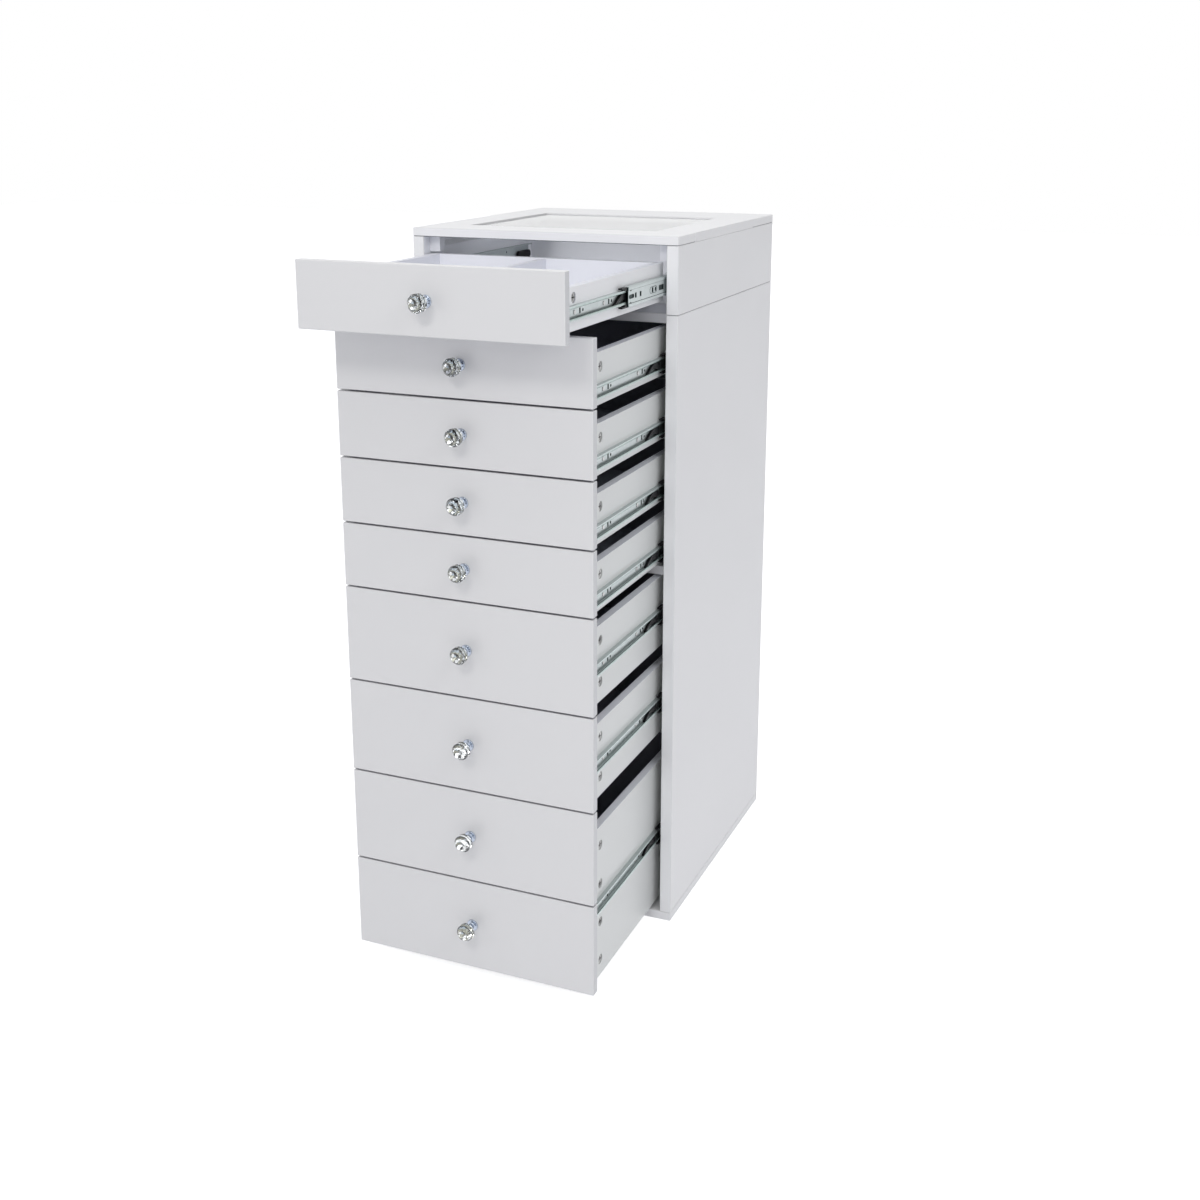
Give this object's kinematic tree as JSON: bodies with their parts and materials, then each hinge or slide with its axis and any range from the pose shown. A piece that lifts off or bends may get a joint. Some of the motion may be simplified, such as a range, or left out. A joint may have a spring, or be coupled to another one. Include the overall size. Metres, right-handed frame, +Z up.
{
  "type": "lighted drawer display unit",
  "caption": "Tall white drawer tower with crystal knobs, drawers on three-part ball slides, and a shallow lighted display case under a glass top.",
  "frame": {"origin": "middle of the case's underside, on the floor", "axes": "+Z up, the drawers open towards -Y, +X to the right as seen from the front"},
  "size_m": [0.45, 0.889, 1.13],
  "materials": {
    "white_board": "white laminate, satin",
    "clear_glass": "polished",
    "crystal_and_chrome": "faceted crystal on a polished chrome base",
    "zinc_steel": "zinc plated",
    "light_rail": "white laminate, satin",
    "diffuser": "frosted",
    "black_plastic": "moulded"
  },
  "bodies": {
    "case": {"base_panel": "white_board", "lower_side_left": "white_board", "lower_side_right": "white_board", "lower_rails": "white_board", "lower_back_panel": "white_board", "upper_floor": "white_board", "upper_side_left": "white_board", "upper_side_right": "white_board", "display_back_board": "white_board", "upper_rear_panel": "white_board", "top_frame": "white_board", "glass_pane": "clear_glass", "light_rails": "light_rail", "light_strips": "diffuser", "light_supply": "black_plastic", "joining_bolts": "zinc_steel", "case_slides": "zinc_steel"},
    "drawer_1": {"drawer_1_front": "white_board", "drawer_1_knob": "crystal_and_chrome", "drawer_1_box": "white_board", "drawer_1_slides_and_cams": "zinc_steel", "drawer_1_divider": "white_board"},
    "middle_1": {"middle_slides_1": "zinc_steel"},
    "drawer_2": {"drawer_2_front": "white_board", "drawer_2_knob": "crystal_and_chrome", "drawer_2_box": "white_board", "drawer_2_slides_and_cams": "zinc_steel"},
    "middle_2": {"middle_slides_2": "zinc_steel"},
    "drawer_3": {"drawer_3_front": "white_board", "drawer_3_knob": "crystal_and_chrome", "drawer_3_box": "white_board", "drawer_3_slides_and_cams": "zinc_steel"},
    "middle_3": {"middle_slides_3": "zinc_steel"},
    "drawer_4": {"drawer_4_front": "white_board", "drawer_4_knob": "crystal_and_chrome", "drawer_4_box": "white_board", "drawer_4_slides_and_cams": "zinc_steel"},
    "middle_4": {"middle_slides_4": "zinc_steel"},
    "drawer_5": {"drawer_5_front": "white_board", "drawer_5_knob": "crystal_and_chrome", "drawer_5_box": "white_board", "drawer_5_slides_and_cams": "zinc_steel"},
    "middle_5": {"middle_slides_5": "zinc_steel"},
    "drawer_6": {"drawer_6_front": "white_board", "drawer_6_knob": "crystal_and_chrome", "drawer_6_box": "white_board", "drawer_6_slides_and_cams": "zinc_steel"},
    "middle_6": {"middle_slides_6": "zinc_steel"},
    "drawer_7": {"drawer_7_front": "white_board", "drawer_7_knob": "crystal_and_chrome", "drawer_7_box": "white_board", "drawer_7_slides_and_cams": "zinc_steel"},
    "middle_7": {"middle_slides_7": "zinc_steel"},
    "drawer_8": {"drawer_8_front_lower": "white_board", "drawer_8_front_upper": "white_board", "drawer_8_knob_lower": "crystal_and_chrome", "drawer_8_knob_upper": "crystal_and_chrome", "drawer_8_box": "white_board", "drawer_8_slides_and_cams": "zinc_steel"},
    "middle_8": {"middle_slides_8": "zinc_steel"}
  },
  "joints": [
    {"name": "drawer_1_slide", "type": "slide", "parent": "case", "child": "drawer_1", "axis": [0, -1, 0], "range_m": [-0.365, 0.015]},
    {"name": "middle_1_slide", "type": "slide", "parent": "case", "child": "middle_1", "axis": [0, -1, 0], "range_m": [-0.1935, 0.00843]},
    {"name": "drawer_2_slide", "type": "slide", "parent": "case", "child": "drawer_2", "axis": [0, -1, 0], "range_m": [-0.274, 0.106]},
    {"name": "middle_2_slide", "type": "slide", "parent": "case", "child": "middle_2", "axis": [0, -1, 0], "range_m": [-0.0575, 0.02255]},
    {"name": "drawer_3_slide", "type": "slide", "parent": "case", "child": "drawer_3", "axis": [0, -1, 0], "range_m": [-0.274, 0.106]},
    {"name": "middle_3_slide", "type": "slide", "parent": "case", "child": "middle_3", "axis": [0, -1, 0], "range_m": [-0.0575, 0.02255]},
    {"name": "drawer_4_slide", "type": "slide", "parent": "case", "child": "drawer_4", "axis": [0, -1, 0], "range_m": [-0.274, 0.106]},
    {"name": "middle_4_slide", "type": "slide", "parent": "case", "child": "middle_4", "axis": [0, -1, 0], "range_m": [-0.0575, 0.02255]},
    {"name": "drawer_5_slide", "type": "slide", "parent": "case", "child": "drawer_5", "axis": [0, -1, 0], "range_m": [-0.274, 0.106]},
    {"name": "middle_5_slide", "type": "slide", "parent": "case", "child": "middle_5", "axis": [0, -1, 0], "range_m": [-0.0575, 0.02255]},
    {"name": "drawer_6_slide", "type": "slide", "parent": "case", "child": "drawer_6", "axis": [0, -1, 0], "range_m": [-0.274, 0.106]},
    {"name": "middle_6_slide", "type": "slide", "parent": "case", "child": "middle_6", "axis": [0, -1, 0], "range_m": [-0.0575, 0.02255]},
    {"name": "drawer_7_slide", "type": "slide", "parent": "case", "child": "drawer_7", "axis": [0, -1, 0], "range_m": [-0.274, 0.106]},
    {"name": "middle_7_slide", "type": "slide", "parent": "case", "child": "middle_7", "axis": [0, -1, 0], "range_m": [-0.0575, 0.02255]},
    {"name": "drawer_8_slide", "type": "slide", "parent": "case", "child": "drawer_8", "axis": [0, -1, 0], "range_m": [-0.274, 0.106]},
    {"name": "middle_8_slide", "type": "slide", "parent": "case", "child": "middle_8", "axis": [0, -1, 0], "range_m": [-0.0575, 0.02255]}
  ],
  "couplings": [
    {"joint": "middle_1_slide", "follows": "drawer_1_slide", "ratio": 0.52877},
    {"joint": "middle_2_slide", "follows": "drawer_2_slide", "ratio": 0.20803},
    {"joint": "middle_3_slide", "follows": "drawer_3_slide", "ratio": 0.20803},
    {"joint": "middle_4_slide", "follows": "drawer_4_slide", "ratio": 0.20803},
    {"joint": "middle_5_slide", "follows": "drawer_5_slide", "ratio": 0.20803},
    {"joint": "middle_6_slide", "follows": "drawer_6_slide", "ratio": 0.20803},
    {"joint": "middle_7_slide", "follows": "drawer_7_slide", "ratio": 0.20803},
    {"joint": "middle_8_slide", "follows": "drawer_8_slide", "ratio": 0.20803}
  ]
}
